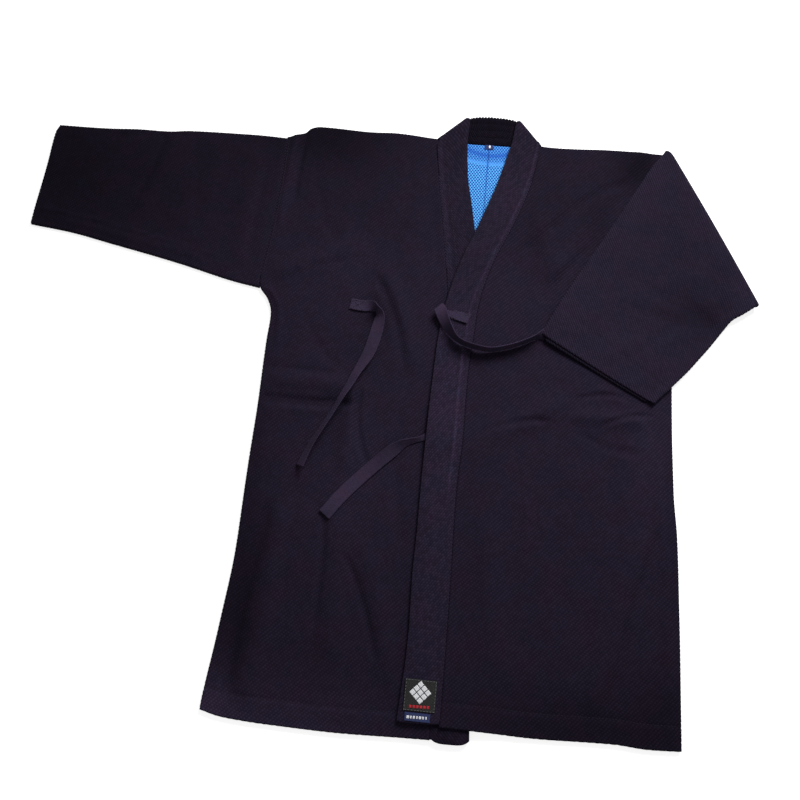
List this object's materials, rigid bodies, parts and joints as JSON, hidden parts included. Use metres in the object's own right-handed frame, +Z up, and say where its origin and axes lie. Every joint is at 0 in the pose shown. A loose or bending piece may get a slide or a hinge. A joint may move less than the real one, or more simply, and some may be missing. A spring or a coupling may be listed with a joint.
{
  "type": "kendo jacket",
  "caption": "Kendo jacket of thick woven cotton laid flat, crossed fronts with a long collar band and tape ties, one sleeve spread and the other folded over the front.",
  "frame": {"origin": "on the floor, under the middle of the spread jacket's box", "axes": "+X towards the wearer's left sleeve, +Y from hem to neck, +Z up off the floor"},
  "size_m": [1.0588, 0.8905, 0.0339],
  "materials": {
    "indigo_cloth": "matt diagonal-ribbed cotton, dark indigo to black-purple",
    "band_cloth": "matt, smoother and slightly lighter woven cotton",
    "tape": "matt woven cotton tape",
    "mesh_lining": "sky blue mesh with a grid of small holes",
    "woven_label": "black woven label with a plain pale mark and a red line",
    "navy_label": "navy woven label with plain pale bars"
  },
  "bodies": {
    "root": {"back_right": "indigo_cloth", "back_left": "indigo_cloth", "front_right": "indigo_cloth", "front_left": "indigo_cloth", "sleeve_right": "indigo_cloth", "sleeve_left": "indigo_cloth", "collar_right": "band_cloth", "collar_left": "band_cloth", "lining_right": "mesh_lining", "lining_left": "mesh_lining", "tie_outer_right": "tape", "tie_outer_left": "tape", "tie_inner": "tape", "label_maker": "woven_label", "label_care": "navy_label", "label_size": "navy_label"}
  },
  "joints": []
}
